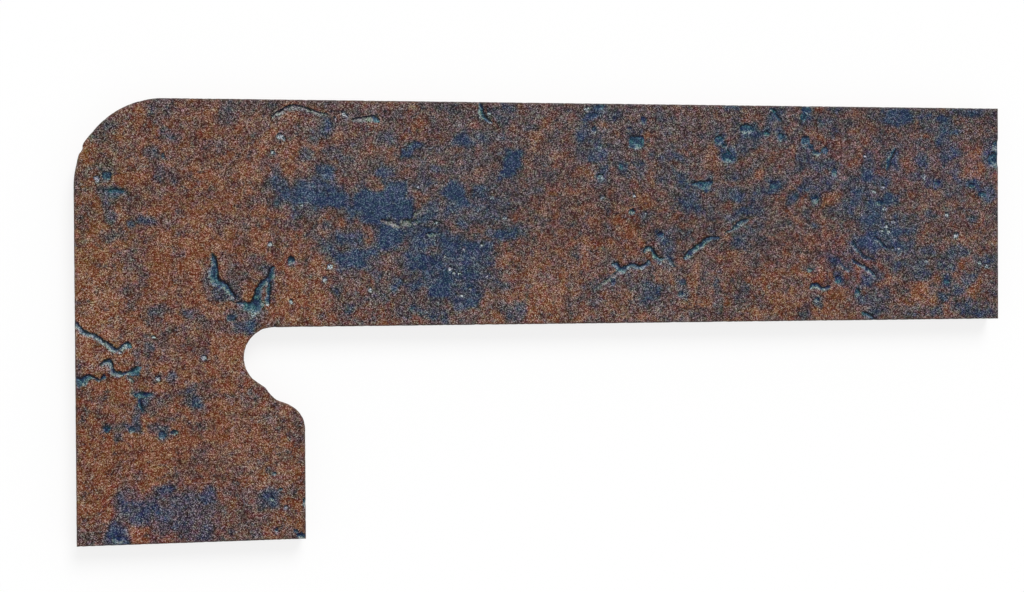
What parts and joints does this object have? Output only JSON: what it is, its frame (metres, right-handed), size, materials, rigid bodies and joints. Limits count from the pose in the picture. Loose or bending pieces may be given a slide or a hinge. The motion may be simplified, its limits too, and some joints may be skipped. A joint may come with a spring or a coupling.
{
  "type": "clinker stair skirting tile",
  "caption": "L-shaped clinker skirting tile that runs above a stair tread and down beside its riser, with a cut-out for the rounded nosing and a rounded outer corner.",
  "frame": {"origin": "centre of the tile's rectangle, on the plane that the ribs of its back rest on", "axes": "+X along the band away from the leg, +Y from the foot of the leg to the top edge, +Z out of the decorated face"},
  "size_m": [0.4, 0.18, 0.011],
  "materials": {
    "fired_clinker": "matte"
  },
  "bodies": {
    "root": {"skirting_tile": "fired_clinker"}
  },
  "joints": []
}
